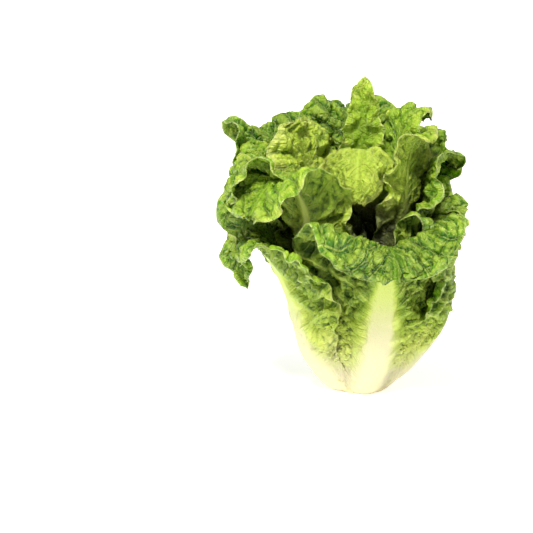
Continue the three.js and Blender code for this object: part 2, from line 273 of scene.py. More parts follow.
# Skin.
BLADE, MARGIN, RIB = 0.9, 0.35, 4.2  # thickness of blade, margin, and the midrib's swelling at the stem
RIB_INNER, RIB_OUTER = 0.15, 0.85  # shares of that swelling on the inner and the outer face
RIB_SPREAD, RIB_FADE = 0.36, 1.3  # how far across the blade it spreads, and how fast it thins to the tip
FOOT_LEVEL = 0.02  # lowest point of a leaf
FOOT_TAPER, FOOT_HEIGHT = 0.16, 5  # how much the foot draws in, and over what height

# The stem, as shares of its radius and height.
STEM_PROFILE = (
    (0.0, 0.010), (0.4, 0.008), (0.8, 0.002), (0.94, 0.0), (0.99, 0.012), (1.0, 0.04), (0.98, 0.12),
    (0.86, 0.3), (0.72, 0.45), (0.55, 0.64), (0.42, 0.8), (0.22, 0.93), (0.02, 1.0),
)
STEM_RINGS, STEM_SIDES = 90, 96  # steps along that profile and round it
LUMP, LUMP_SIZE = 0.5, 7  # height and size of the lumps on its side
CUT_BAND, LUMP_BAND = 1.5, 4  # heights over which the cut face ends and the lumps start

# Seeds. Patches and waves add a leaf's place in the list to theirs, and detail adds SEED_STEP times it.
PATCH_SEED, WAVE_SEED, DETAIL_SEED, SEED_STEP, LUMP_SEED = 7, 31, 100, 10, 5

# ---- small maths -----------------------------------------------------------------------------------


def smooth(t):
    t = np.clip(t, 0, 1)
    return t * t * (3 - 2 * t)


def mix(a, b, t):
    return a + (b - a) * t


def unit(v):
    return v / np.maximum(np.linalg.norm(v, axis=-1, keepdims=True), 1e-9)


def to_line(phase):
    """Distance to the nearest whole number, from 0 to 0.5."""
    return 0.5 - np.abs(phase % 1 - 0.5)


def noise(points, seed, octaves=1):
    """Gradient noise from about -1 to 1 at points of shape (..., 3), adding finer and weaker layers."""
    table_size, octave_shift, gain = 256, 17.3, 1.6
    rng = np.random.default_rng(seed)
    table = rng.permutation(table_size)
    slopes = unit(rng.normal(size=(table_size, 3)))
    total, weight = np.zeros(points.shape[:-1]), 1.0
    for octave in range(octaves):
        p = points * 2**octave + octave_shift * octave
        cell = np.floor(p).astype(int)
        inside = p - cell
        fade = inside**3 * (inside * (inside * 6 - 15) + 10)
        value = np.zeros(points.shape[:-1])
        for corner in np.ndindex(2, 2, 2):
            x, y, z = np.moveaxis(cell + corner, -1, 0)
            row = table[(table[x % table_size] + y) % table_size]
            slope = slopes[table[(row + z) % table_size]]
            share = np.prod(np.where(corner, fade, 1 - fade), axis=-1)
            value += share * np.sum(slope * (inside - corner), axis=-1)
        total += weight * value
        weight *= 0.5
    return total * gain


def flat_noise(x, y, scale, seed, octaves=1):
    return noise(np.stack([x / scale, y / scale, np.full_like(x, 0.5)], -1), seed, octaves)


def between(a, b, c, d, t):
    """Catmull-Rom: a point between b and c, with a before them and d after."""
    return 0.5 * (
        2 * b + (c - a) * t + (2 * a - 5 * b + 4 * c - d) * t**2 + (3 * b - a - 3 * c + d) * t**3
    )


def through(points, steps):
    """A smooth curve through the points, sampled at even distances: (places, total length)."""
    p = np.array(points, float)
    p = np.vstack([2 * p[0] - p[1], p, 2 * p[-1] - p[-2]])
    t = np.linspace(0, 1, CURVE_STEPS, endpoint=False)[:, None]
    dense = [between(a, b, c, d, t) for a, b, c, d in zip(p, p[1:], p[2:], p[3:])]
    dense = np.vstack([*dense, p[-2:-1]])
    walked = np.concatenate([[0], np.cumsum(np.linalg.norm(np.diff(dense, axis=0), axis=1))])
    at = steps * walked[-1]
    return np.stack([np.interp(at, walked, dense[:, k]) for k in range(3)], -1), walked[-1]


def refine(grid, factor, axis):
    """The grid with cubic in-between points along one axis."""
    grid = np.moveaxis(grid, axis, 0)
    count = grid.shape[0]
    t = np.arange((count - 1) * factor + 1) / factor
    i = np.minimum(t.astype(int), count - 2)
    f = (t - i).reshape((-1,) + (1,) * (grid.ndim - 1))
    a, b, c, d = (grid[np.clip(i + k, 0, count - 1)] for k in (-1, 0, 1, 2))
    return np.moveaxis(between(a, b, c, d, f), 0, axis)


def normals(grid):
    """Unit normals of a grid of points, on the leaf's inner face."""
    return unit(np.cross(np.gradient(grid, axis=-3), np.gradient(grid, axis=-2)))


# ---- the smooth blade ------------------------------------------------------------------------------


def at_stations(values, s):
    """A value given at the stem, the middle and the tip, read at s from 0 to 1."""
    stem, middle, tip = values
    return np.where(s < 0.5, mix(stem, middle, smooth(2 * s)), mix(middle, tip, smooth(2 * s - 1)))


def half_width(leaf, s):
    below = s / leaf["peak"]
    beyond = np.clip((s - leaf["peak"]) / (1 - leaf["peak"]), 0, 1)
    rising = mix(leaf["neck"], leaf["wide"], smooth(below) * EASED + np.minimum(below, 1) * STRAIGHT)
    return np.where(s < leaf["peak"], rising, leaf["wide"] * np.sqrt(1 - beyond ** leaf["blunt"]))


def side_share(leaf, v):
    left, right = leaf["sides"]
    return np.where(v < 0, left, right)


def smooth_blade(leaf):
    """The leaf's middle surface as a grid of points, stem to tip and left to right, and its length."""
    s = np.linspace(0, LAST_ROW, ROWS)
    turn = math.radians(leaf["turn"])
    outward = np.array([math.sin(turn), -math.cos(turn), 0])
    sideways = np.array([math.cos(turn), math.sin(turn), 0])
    spine = [
        outward * out + sideways * sum(drift) + np.array([0, 0, up]) for out, up, *drift in leaf["spine"]
    ]
    middle, length = through(spine, s)
    tangent = unit(np.gradient(middle, axis=0))
    twist = np.radians(leaf["twist"]) * smooth(s)[:, None]
    across = sideways * np.cos(twist) + np.cross(tangent, sideways) * np.sin(twist)
    across = unit(across - tangent * np.sum(across * tangent, axis=1, keepdims=True))
    inward = np.cross(tangent, across)

    half = COLS // 2
    t = np.arange(1, half + 1) / half
    cup, edge = at_stations(leaf["cup"], s)[:, None], at_stations(leaf["edge"], s)[:, None]
    bend = np.radians(cup * t + edge * t**3)
    step = (half_width(leaf, s) / half)[:, None]
    x, y = np.cumsum(step * np.cos(bend), axis=1), np.cumsum(step * np.sin(bend), axis=1)
    share = side_share(leaf, np.linspace(-1, 1, COLS))
    x = np.hstack([-x[:, ::-1], np.zeros((ROWS, 1)), x]) * share
    y = np.hstack([y[:, ::-1], np.zeros((ROWS, 1)), y]) * share
    return middle[:, None] + across[:, None] * x[..., None] + inward[:, None] * y[..., None], length


def placed(grid, name):
    """The blade stretched upwards so that it reaches as high as its CAD solid does."""
    _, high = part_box(name)
    return grid * [1, 1, high.z / UNIT / grid[..., 2].max()]


# ---- growing the blades ----------------------------------------------------------------------------


def close_pairs(points, owner, reach):
    """Pairs of points on different leaves that are nearer than reach, the outer leaf's point first."""
    middle, span = 64, 256  # of the grid of cells that the points are sorted into
    cell = np.floor(points / reach).astype(np.int64) + middle
    key = (cell[:, 0] * span + cell[:, 1]) * span + cell[:, 2]
    order = np.argsort(key, kind="stable")
    ordered = key[order]
    firsts, seconds = [], []
    for shift in np.ndindex(3, 3, 3):
        wanted = key + ((shift[0] - 1) * span + shift[1] - 1) * span + shift[2] - 1
        start, stop = np.searchsorted(ordered, wanted), np.searchsorted(ordered, wanted, side="right")
        count = stop - start
        a = np.repeat(np.arange(len(points)), count)
        offset = np.arange(count.sum()) - np.repeat(np.cumsum(count) - count, count)
        b = order[np.repeat(start, count) + offset]
        keep = owner[a] < owner[b]
        a, b = a[keep], b[keep]
        near = np.sum((points[a] - points[b]) ** 2, axis=1) < reach * reach
        firsts.append(a[near])
        seconds.append(b[near])
    return np.concatenate(firsts), np.concatenate(seconds)


def spring(rest, stretch, ahead, behind, stiffness):
    """A set of springs between two slices of every blade, with the lengths that they want to have."""
    length = np.linalg.norm(rest[ahead] - rest[behind], axis=-1)
    return ahead, behind, length * 0.5 * (stretch[ahead] + stretch[behind]), stiffness


def all_springs(rest, stretch):
    springs = []
    for span, axis, stiffness in SPRINGS:
        ahead, behind = [slice(None)] * 3, [slice(None)] * 3
        ahead[axis], behind[axis] = slice(span, None), slice(None, -span)
        springs.append(spring(rest, stretch, tuple(ahead), tuple(behind), stiffness))
    every, later, sooner = slice(None), slice(1, None), slice(None, -1)
    springs.append(spring(rest, stretch, (every, later, later), (every, sooner, sooner), DIAGONAL))
    springs.append(spring(rest, stretch, (every, later, sooner), (every, sooner, later), DIAGONAL))
    return springs


def sprung(points, springs):
    """The move that the springs ask of every point."""
    move = np.zeros_like(points)
    for ahead, behind, length, stiffness in springs:
        gap = points[ahead] - points[behind]
        size = np.linalg.norm(gap, axis=-1)
        push = gap * (stiffness * (length / np.maximum(size, 1e-6) - 1))[..., None]
        move[ahead] += push
        move[behind] -= push
    return move


def shoved(points, outer, inner):
    """The move that keeps neighbouring leaves a layer apart, for pairs of places in the flattened points."""
    flat = points.reshape(-1, 3)
    facing = normals(points).reshape(-1, 3)[outer]
    apart = flat[inner] - flat[outer]
    ahead_by = np.sum(apart * facing, axis=1)
    beside = np.linalg.norm(apart - facing * ahead_by[:, None], axis=1)
    counts = (beside < BESIDE) & (ahead_by > -REACH)
    lack = np.where(counts, np.clip(LAYER_GAP - ahead_by, 0, MOST_PUSH), 0)
    shove, hits = np.zeros_like(flat), np.full(len(flat), 1e-6)
    for ends, sign in ((outer, -1), (inner, 1)):
        np.add.at(shove, ends, sign * facing * lack[:, None])
        np.add.at(hits, ends, lack > 0)
    return (PUSH * shove / hits[:, None]).reshape(points.shape)


def grown(blades, leaves):
    """Every blade relaxed with its margin longer than its midrib, and its neighbours kept a layer apart."""
    rest = np.stack(blades)
    s = np.linspace(0, LAST_ROW, ROWS)[None, :, None]
    v = np.abs(np.linspace(-1, 1, COLS))[None, None, :]
    grow = np.array([leaf["grow"] for leaf in leaves])[:, None, None]
    patches = np.stack([noise(grid / PATCH_SIZE, PATCH_SEED + k) for k, grid in enumerate(blades)])
    growth = grow * v**GROWN_POWER + PATCHY * smooth(v * PATCH_RISE) * (1 + PATCH_SPREAD * patches)
    stretch = 1 + smooth((s - GROWN_FROM) / GROWN_OVER) * growth
    firm = np.maximum(smooth(1 - v / HELD_ACROSS), smooth(1 - s / HELD_ALONG))
    hold = mix(LOOSE, HELD, firm)[..., None]
    waves = np.stack([noise(grid / WAVE_SIZE, WAVE_SEED + k, 2) for k, grid in enumerate(blades)])
    raised = waves * START_WAVE * smooth(v * WAVE_RISE) * smooth((s - WAVE_FROM) / WAVE_OVER)
    points = rest + normals(rest) * raised[..., None]

    springs = all_springs(rest, stretch)
    owner = np.repeat(np.arange(len(blades)), ROWS * COLS)
    for step in range(STEPS):
        points = points + PACE * sprung(points, springs)
        points += hold * (rest - points)
        if step % SEARCH == ALONE:
            outer, inner = close_pairs(points.reshape(-1, 3), owner, REACH)
        if step >= ALONE and step % 2 == 0:
            points += shoved(points, outer, inner)
        points[..., 2] = np.maximum(points[..., 2], np.minimum(rest[..., 2], LOWEST))
    return points


# ---- veins, blisters and skin ----------------------------------------------------------------------


def rib_half_width(leaf, s):
    narrowing = smooth((s - leaf["ribbed"]) / RIB_NARROWS)
    return 0.5 + 0.5 * leaf["neck"] * leaf["rib"] * (1 - narrowing)


def vein_phases(leaf, x, y, v, seed):
    """Two numbers that are whole on the side veins and on the veins between them."""
    side = np.where(v < 0, 0.5, 0.0)
    bend = flat_noise(x, y, VEIN_BEND_SIZE, seed, 2)
    slant = np.abs(x) * mix(1.0, STRAIGHTENED, np.minimum(np.abs(x) / leaf["wide"], 1))
    lateral = (y - slant) / LATERAL + side * smooth(np.abs(x) / 3) + VEIN_BEND * bend
    rung_bend = flat_noise(x, y, RUNG_BEND_SIZE, seed + 1, 2)
    ladder = np.abs(x) / LADDER + RUNG_BEND * rung_bend + 0.25 * lateral
    return lateral, ladder


def relief_height(leaf, x, y, s, rim, lateral, puff, off_rib, upper, seed):
    """How far each point lies above the smooth blade: blisters, pleats, crumples and splits between them."""
    crinkle = flat_noise(x, y, CRINKLE_SIZE, seed + 2, 2)
    fold = to_line(lateral * PLEATS + 1.3 * flat_noise(x, y, 9, seed + 3, 2))
    pleats = (smooth(fold / PLEAT_WIDTH) - 0.7) * (1 - upper * 0.6)
    pleats = pleats * smooth((s - PLEAT_FROM) / PLEAT_FROM)
    crumple = np.abs(flat_noise(x, y, CRUMPLE_SIZE, seed + 5, 2))
    split = smooth(1 - np.abs(flat_noise(x, y, SPLIT_SIZE, seed + 7, 2)) / SPLIT_WIDTH)
    height = BLISTER * upper * puff + CRINKLE * crinkle + PLEAT * pleats
    height = height + CRUMPLE * mix(0.45, 1, upper) * (crumple - 0.3) - SPLIT * split
    height *= off_rib * smooth(rim / EDGE_BAND) * leaf["relief"]
    height -= SUNK * off_rib * upper
    ripple = flat_noise(x, y, RIPPLE_SIZE, seed + 6, 2)
    height += RIPPLE * leaf["relief"] * ripple * smooth(1 - rim / RIPPLE_REACH) * upper
    return height


def smoothed(height):
    """The height of each point's surroundings."""
    for _ in range(PROUD_ROUNDS):
        beside = [np.roll(height, step, axis) for axis in (0, 1) for step in (1, -1)]
        height = sum(beside, height) / 5
    return height


def detailed(grid, leaf, length, factor, seed):
    """The fine middle surface with its blisters and wrinkles, and what the material is told there.

    Returns the points, their places along and across the leaf, the masks by name and the maps by name.
    """
    grid = refine(refine(grid, factor, 0), factor, 1)
    rows, cols = grid.shape[:2]
    s = np.linspace(0, LAST_ROW, rows)[:, None] * np.ones((1, cols))
    v = np.linspace(-1, 1, cols)[None, :] * np.ones((rows, 1))
    width = half_width(leaf, s) * side_share(leaf, v)
    x, y = v * width, s * length
    rim = (1 - np.abs(v)) * width
    rib = rib_half_width(leaf, s)

    lateral, ladder = vein_phases(leaf, x, y, v, seed)
    rung_puff = (1 - LADDER_DEPTH) + LADDER_DEPTH * smooth(to_line(ladder) / LADDER_WIDTH)
    puff = np.minimum(smooth(to_line(lateral) / LATERAL_WIDTH), rung_puff)
    off_rib = smooth((np.abs(x) - rib) / RIB_BAND)
    upper = smooth((s - UPPER_FROM) / UPPER_OVER)
    height = relief_height(leaf, x, y, s, rim, lateral, puff, off_rib, upper, seed)
    grid = grid + normals(grid) * height[..., None]

    frayed = FRAY * flat_noise(x, y, FRAY_SIZE, seed + 4, 2) * smooth(1 - rim / EDGE_BAND) * upper
    outward = unit(np.gradient(grid, axis=1)) * np.sign(v)[..., None]
    grid = grid + outward * frayed[..., None]

    radius = np.hypot(grid[..., 0], grid[..., 1])
    on_rib = 1 - smooth((np.abs(x) - rib * 0.4) / (rib * 0.7 + 0.8))
    masks = dict(
        along=s,
        rim=rim,
        rib=min(1, leaf["rib"]) * on_rib,
        puff=mix(1, mix(0.6, puff, leaf["relief"]), off_rib) * upper,
        proud=np.clip((height - smoothed(height)) / PROUD_HEIGHT, -1, 1) * smooth(rim / EDGE_BAND),
        # deep: how much painted shade darkens the inside of the head here
        deep=smooth((DEEP_TOP - grid[..., 2]) / DEEP_FADE) * smooth((DEEP_RADIUS - radius) / DEEP_EDGE),
    )
    maps = dict(blade=np.stack([x, y], -1) / 100, veins=np.stack([lateral, ladder], -1))
    return grid, s, v, masks, maps


def skin(grid, s, v):
    """A closed skin round a middle surface: vertices, quads, and 1 on the inner face or 0 on the outer."""
    rows, cols = s.shape
    facing = normals(grid)
    thick = mix(BLADE, MARGIN, np.abs(v) ** 6) * mix(1, 0.75, s)
    swelling = RIB * (1 - s) ** RIB_FADE * np.exp(-((v / RIB_SPREAD) ** 2))
    inner = grid + facing * (thick * 0.5 + RIB_INNER * swelling)[..., None]
    outer = grid - facing * (thick * 0.5 + RIB_OUTER * swelling)[..., None]
    vertices = np.concatenate([inner.reshape(-1, 3), outer.reshape(-1, 3)])
    vertices[:, 2] = np.maximum(vertices[:, 2], FOOT_LEVEL)
    vertices[:, :2] *= 1 - FOOT_TAPER * np.clip(1 - vertices[:, 2:] / FOOT_HEIGHT, 0, 1) ** 2

    at = np.arange(rows * cols).reshape(rows, cols)
    back = at + rows * cols
    top = np.stack([at[:-1, :-1], at[1:, :-1], at[1:, 1:], at[:-1, 1:]], -1).reshape(-1, 4)
    bottom = np.stack([back[:-1, :-1], back[:-1, 1:], back[1:, 1:], back[1:, :-1]], -1).reshape(-1, 4)

    def hem(path):
        here, there = path[:-1], path[1:]
        return np.stack([here, there, there + rows * cols, here + rows * cols], -1)

    hems = [hem(at[0]), hem(at[:, -1]), hem(at[-1, ::-1]), hem(at[::-1, 0])]
    return vertices, np.concatenate([top, bottom, *hems]), np.repeat([1.0, 0.0], rows * cols)


def mesh_object(name, vertices, quads, floats, uvs, material):
    mesh = bpy.data.meshes.new(name)
    mesh.vertices.add(len(vertices))
    mesh.vertices.foreach_set("co", vertices.astype(np.float32).ravel())
    mesh.loops.add(quads.size)
    mesh.loops.foreach_set("vertex_index", quads.astype(np.int32).ravel())
    mesh.polygons.add(len(quads))
    mesh.polygons.foreach_set("loop_start", np.arange(0, quads.size, 4, dtype=np.int32))
    mesh.update(calc_edges=True)
    mesh.polygons.foreach_set("use_smooth", np.ones(len(quads), bool))
    for key, values in floats.items():
        layer = mesh.attributes.new(key, "FLOAT", "POINT")
        layer.data.foreach_set("value", values.astype(np.float32))
    for key, values in uvs.items():
        layer = mesh.uv_layers.new(name=key)
        layer.uv.foreach_set("vector", values[quads.ravel()].astype(np.float32).ravel())
    mesh.validate()
    mesh.materials.append(material)
    piece = bpy.data.objects.new(name, mesh)
    bpy.context.scene.collection.objects.link(piece)
    return piece


# ---- materials -------------------------------------------------------------------------------------


class Nodes:
    """Short names for making and joining shader nodes."""

    def __init__(self, name):
        self.material = bpy.data.materials.new(name)
        self.material.use_nodes = True
        self.tree = self.material.node_tree
        self.shader = self.tree.nodes["Principled BSDF"]

    def add(self, kind, **settings):
        node = self.tree.nodes.new(kind)
        for key, value in settings.items():
            setattr(node, key, value)
        return node

    def feed(self, socket, value):
        if isinstance(value, bpy.types.NodeSocket):
            self.tree.links.new(value, socket)
        elif isinstance(value, tuple) and len(value) == 3 and socket.type == "RGBA":
            socket.default_value = (*value, 1)
        else:
            socket.default_value = value

    def surface(self, name, value):
        self.feed(self.shader.inputs[name], value)

    def math(self, operation, *values):
        node = self.add("ShaderNodeMath", operation=operation)
        for socket, value in zip(node.inputs, values):
            self.feed(socket, value)
        return node.outputs[0]

    def plus(self, a, b):
        return self.math("ADD", a, b)

    def minus(self, a, b):
        return self.math("SUBTRACT", a, b)

    def times(self, a, b):
        return self.math("MULTIPLY", a, b)

    def to_line(self, phase):
        """Distance to the nearest whole number, from 0 to 0.5."""
        return self.minus(0.5, self.math("ABSOLUTE", self.minus(self.math("FRACT", phase), 0.5)))

    def band(self, value, low, high, out_low=0.0, out_high=1.0):
        """Eases from out_low to out_high as the value goes from low to high."""
        node = self.add("ShaderNodeMapRange", interpolation_type="SMOOTHSTEP")
        for socket, number in zip(node.inputs, (value, low, high, out_low, out_high)):
            self.feed(socket, number)
        return node.outputs["Result"]

    def mix(self, factor, a, b):
        node = self.add("ShaderNodeMix", data_type="FLOAT")
        self.feed(node.inputs[0], factor)
        self.feed(node.inputs[2], a)
        self.feed(node.inputs[3], b)
        return node.outputs[0]

    def blend(self, factor, a, b):
        node = self.add("ShaderNodeMix", data_type="RGBA")
        self.feed(node.inputs[0], factor)
        self.feed(node.inputs[6], a)
        self.feed(node.inputs[7], b)
        return node.outputs[2]

    def number(self, name):
        return self.add("ShaderNodeAttribute", attribute_name=name).outputs["Fac"]

    def uv(self, name):
        return self.add("ShaderNodeUVMap", uv_map=name).outputs["UV"]

    def place(self):
        return self.add("ShaderNodeTexCoord").outputs["Object"]

    def parts(self, vector):
        node = self.add("ShaderNodeSeparateXYZ")
        self.feed(node.inputs[0], vector)
        return node.outputs

    def speckle(self, vector, scale, detail=3.0, roughness=0.55):
        node = self.add("ShaderNodeTexNoise")
        self.feed(node.inputs["Vector"], vector)
        self.feed(node.inputs["Scale"], scale)
        self.feed(node.inputs["Detail"], detail)
        self.feed(node.inputs["Roughness"], roughness)
        return node.outputs["Fac"]

    def ramp(self, value, stops):
        node = self.add("ShaderNodeValToRGB")
        self.feed(node.inputs[0], value)
        ramp = node.color_ramp
        while len(ramp.elements) < len(stops):
            ramp.elements.new(1.0)
        for element, (place, colour) in zip(ramp.elements, stops):
            element.position = place
            element.color = (*colour, 1)
        return node.outputs["Color"]

    def bump(self, height, strength, distance):
        node = self.add("ShaderNodeBump")
        self.feed(node.inputs["Strength"], strength)
        self.feed(node.inputs["Distance"], distance)
        self.feed(node.inputs["Height"], height)
        self.surface("Normal", node.outputs["Normal"])


# Colours are linear red, green and blue.
CREAM = (0.70, 0.645, 0.39)
PALE = (0.66, 0.70, 0.24)
YELLOW_GREEN = (0.60, 0.69, 0.13)
LIGHT_GREEN = (0.41, 0.56, 0.040)
MID_GREEN = (0.175, 0.35, 0.008)
DARK_GREEN = (0.045, 0.150, 0.003)
GREENS = (
    (0.0, CREAM), (0.18, PALE), (0.36, YELLOW_GREEN), (0.56, LIGHT_GREEN), (0.78, MID_GREEN),
    (1.0, DARK_GREEN),
)
OUTER_FACE = (0.50, 0.60, 0.08)
# painted shade in the relief's hollows, and painted light on its raised parts
PAINTED_HOLLOW_SHADE, PAINTED_RIDGE_LIGHT = (0.010, 0.055, 0.002), (0.58, 0.70, 0.07)
# painted shade in the fine wrinkles' furrows, and painted light on their ridges
WRINKLE_SHADE, WRINKLE_HIGHLIGHT = (0.025, 0.090, 0.003), (0.58, 0.70, 0.10)
VEIN = (0.50, 0.62, 0.11)
PALE_MARGIN = (0.60, 0.68, 0.24)
# painted shade for the inside of the head
DEEP_SHADE = (0.030, 0.034, 0.008)
FOOT_BROWN = (0.42, 0.24, 0.07)
STEM_FLESH = ((0.3, (0.88, 0.83, 0.50)), (0.7, (0.80, 0.74, 0.38)))
STEM_RUST = (0.46, 0.26, 0.09)
FLOOR_WHITE, FLOOR_GLOW, GLOW_STRENGTH = (0.93, 0.93, 0.92), (1.0, 1.0, 1.0), 0.58
SCATTER = (0.6, 1.0, 0.15)  # how far red, green and blue light spread in a leaf, beside each other
SCATTER_DEPTH = 0.003  # in metres


class LeafNodes(Nodes):
    """The nodes of one leaf's material, with what the leaf's mesh tells about each point."""

    def __init__(self, name, tone, relief):
        super().__init__(name)
        self.tone, self.relief = tone, relief
        self.blade, self.veins = self.uv("blade"), self.uv("veins")
        self.along, self.rim, self.puff = self.number("along"), self.number("rim"), self.number("puff")
        self.inner = self.number("inner")
        self.facing = self.minus(self.times(self.inner, 2.0), 1.0)
        self.patch = self.speckle(self.blade, 26.0, 4.0)
        # The midrib shows less on the inner face, further up.
        fading = self.times(self.inner, self.band(self.along, 0.3, 0.6, 0.0, 0.75))
        self.rib = self.times(self.number("rib"), self.minus(1.0, fading))
        self.off_rib = self.minus(1.0, self.rib)


def green_colour(n):
    """Cream at the foot and along the midrib, then yellow-green, and green by the top."""
    cloud = n.speckle(n.blade, 9.0, 4.0)
    green = n.times(n.band(n.along, 0.06, 0.70 + 0.2 * n.tone), 1.02 - 0.5 * n.tone)
    green = n.plus(green, n.times(n.minus(cloud, 0.5), 0.34))
    green = n.plus(green, n.times(n.minus(n.patch, 0.5), 0.2))
    level = n.mix(n.rib, green, n.band(n.along, 0.35, 0.8, 0.0, 0.5))
    pale_zone = n.times(n.band(n.rim, 1.0, 8.0, 0.3, 0.0), n.band(n.patch, 0.35, 0.65))
    return n.ramp(n.minus(level, n.times(pale_zone, n.band(n.along, 0.4, 0.6))), GREENS)


def vein_net(n):
    """1 along the side veins and less along the finer ones, and the domes between the finest."""
    lateral, ladder = n.parts(n.veins)[:2]
    bent = n.add("ShaderNodeVectorMath", operation="MULTIPLY_ADD")
    n.feed(bent.inputs[0], n.speckle(n.blade, 20.0, 2.0))
    n.feed(bent.inputs[1], (0.05, 0.05, 0.05))
    n.feed(bent.inputs[2], n.blade)
    net = n.add("ShaderNodeTexVoronoi", feature="DISTANCE_TO_EDGE")
    n.feed(net.inputs["Vector"], bent.outputs[0])
    n.feed(net.inputs["Scale"], 27.0)
    side_line = n.band(n.to_line(lateral), 0.010, 0.060, 1.0, 0.0)
    rung_line = n.band(n.to_line(ladder), 0.010, 0.060, 1.0, 0.0)
    net_line = n.band(net.outputs["Distance"], 0.015, 0.08, 1.0, 0.0)
    line = n.math("MAXIMUM", side_line, n.times(rung_line, 0.7))
    line = n.math("MAXIMUM", line, n.times(net_line, 0.5))
    line = n.times(line, n.times(n.off_rib, n.band(n.along, 0.2, 0.5)))
    return line, n.band(net.outputs["Distance"], 0.0, 0.35)


def wrinkle_streaks(n):
    """Fine wrinkles that run out from the midrib beside the side veins."""
    stretched = n.add("ShaderNodeMapping")
    n.feed(stretched.inputs["Vector"], n.veins)
    n.feed(stretched.inputs["Scale"], (4.5, 0.5, 1.0))
    return n.speckle(stretched.outputs["Vector"], 1.6, 4.0, 0.6)


def leaf_colour(n, line, wrinkle):
    colour = green_colour(n)

    # The outer face is paler and duller than the inner one.
    outside = n.times(n.minus(1.0, n.inner), n.band(n.along, 0.25, 0.6))
    colour = n.blend(outside, colour, n.blend(0.22, colour, OUTER_FACE))

    # Painted light and shade: blister tops are painted a lighter green, and the creases between them a
    # darker one, as shade.
    colour = n.blend(n.times(n.band(n.puff, 0.35, 1.0), 0.16), colour, LIGHT_GREEN)
    crease_shade = n.times(n.times(n.band(n.puff, 0.0, 0.5, 1.0, 0.0), n.band(n.along, 0.4, 0.7)), n.off_rib)
    colour = n.blend(n.times(crease_shade, 0.5), colour, DARK_GREEN)

    # Painted light and shade: what stands proud of its surroundings is painted paler, and what lies below
    # them is painted darker, as shade in the hollows.
    stands = n.times(n.times(n.number("proud"), n.facing), n.off_rib)
    colour = n.blend(n.band(stands, -0.9, 0.0, 0.8 - 0.3 * n.tone, 0.0), colour, PAINTED_HOLLOW_SHADE)
    colour = n.blend(n.band(stands, 0.0, 0.9, 0.0, 0.28), colour, PAINTED_RIDGE_LIGHT)

    # Painted shade in the fine wrinkles' furrows, and painted light along their ridges.
    wrinkled = n.times(n.off_rib, n.band(n.along, 0.15, 0.4))
    dark = n.times(wrinkled, n.band(wrinkle, 0.32, 0.48, 0.55 * n.relief, 0.0))
    light = n.times(wrinkled, n.band(wrinkle, 0.52, 0.70, 0.0, 0.30 * n.relief))
    colour = n.blend(dark, colour, WRINKLE_SHADE)
    colour = n.blend(light, colour, WRINKLE_HIGHLIGHT)
    colour = n.blend(n.times(line, 0.55 - 0.3 * min(1, 2 * n.tone)), colour, VEIN)

    margin = n.times(n.band(n.rim, 0.15, 0.8, 1.0, 0.0), n.band(n.along, 0.35, 0.6))
    colour = n.blend(n.times(margin, n.band(n.patch, 0.35, 0.65, 0.25, 0.75)), colour, PALE_MARGIN)

    # Painted shade: deep inside the head the leaves are darkened to a dull brownish colour, where shadow
    # falls.
    colour = n.blend(n.times(n.number("deep"), 0.9), colour, DEEP_SHADE)

    # The trimmed foot browns in patches.
    place = n.place()
    near_cut = n.band(n.parts(place)[2], 0.0004, 0.003, 1.0, 0.0)
    browned = n.times(near_cut, n.band(n.speckle(place, 90.0), 0.45, 0.7))
    return n.blend(n.times(browned, 0.7), colour, FOOT_BROWN)


def leaf_bumps(n, line, dome, wrinkle):
    """Fibres, wrinkles, veins and the domes between them, too fine for the mesh."""
    fine = n.times(n.speckle(n.blade, 160.0, 3.0), 0.35)
    fibre = n.times(n.speckle(n.blade, 60.0, 3.0), n.math("MULTIPLY_ADD", n.off_rib, 1.1, 0.2))
    bumps = n.plus(fine, fibre)
    bumps = n.plus(bumps, n.times(n.times(wrinkle, n.off_rib), mix(1.4, 3.2, n.relief)))
    bumps = n.minus(bumps, n.times(n.times(line, n.facing), 0.7))
    domes = n.times(n.times(dome, n.facing), n.times(n.off_rib, n.band(n.along, 0.4, 0.7)))
    return n.plus(bumps, n.times(domes, n.relief * (1.0 - 0.5 * n.tone)))


def leaf_material(name, tone, relief):
    n = LeafNodes(name, tone, relief)
    line, dome = vein_net(n)
    wrinkle = wrinkle_streaks(n)
    n.surface("Base Color", leaf_colour(n, line, wrinkle))
    n.surface("Roughness", n.plus(n.times(n.inner, -0.14), n.band(n.patch, 0.3, 0.75, 0.38, 0.54)))
    n.surface("Specular IOR Level", 0.42)
    n.surface("Subsurface Weight", 0.22)
    n.surface("Subsurface Radius", SCATTER)
    n.surface("Subsurface Scale", SCATTER_DEPTH)
    n.bump(leaf_bumps(n, line, dome, wrinkle), 0.9, 0.0013)
    return n.material


def stem_material():
    n = Nodes("stem_flesh")
    place = n.place()
    cloud = n.speckle(place, 120.0, 4.0)
    cut = n.band(n.number("cut"), 0.2, 0.8)
    rust = n.times(cut, n.band(n.speckle(place, 300.0, 5.0), 0.42, 0.68, 0.15, 0.85))
    n.surface("Base Color", n.blend(rust, n.ramp(cloud, STEM_FLESH), STEM_RUST))
    n.surface("Roughness", n.band(cloud, 0.3, 0.7, 0.45, 0.62))
    n.surface("Subsurface Weight", 0.2)
    n.surface("Subsurface Scale", SCATTER_DEPTH)
    n.bump(cloud, 0.5, 0.0005)
    return n.material


# ---- making the head -------------------------------------------------------------------------------


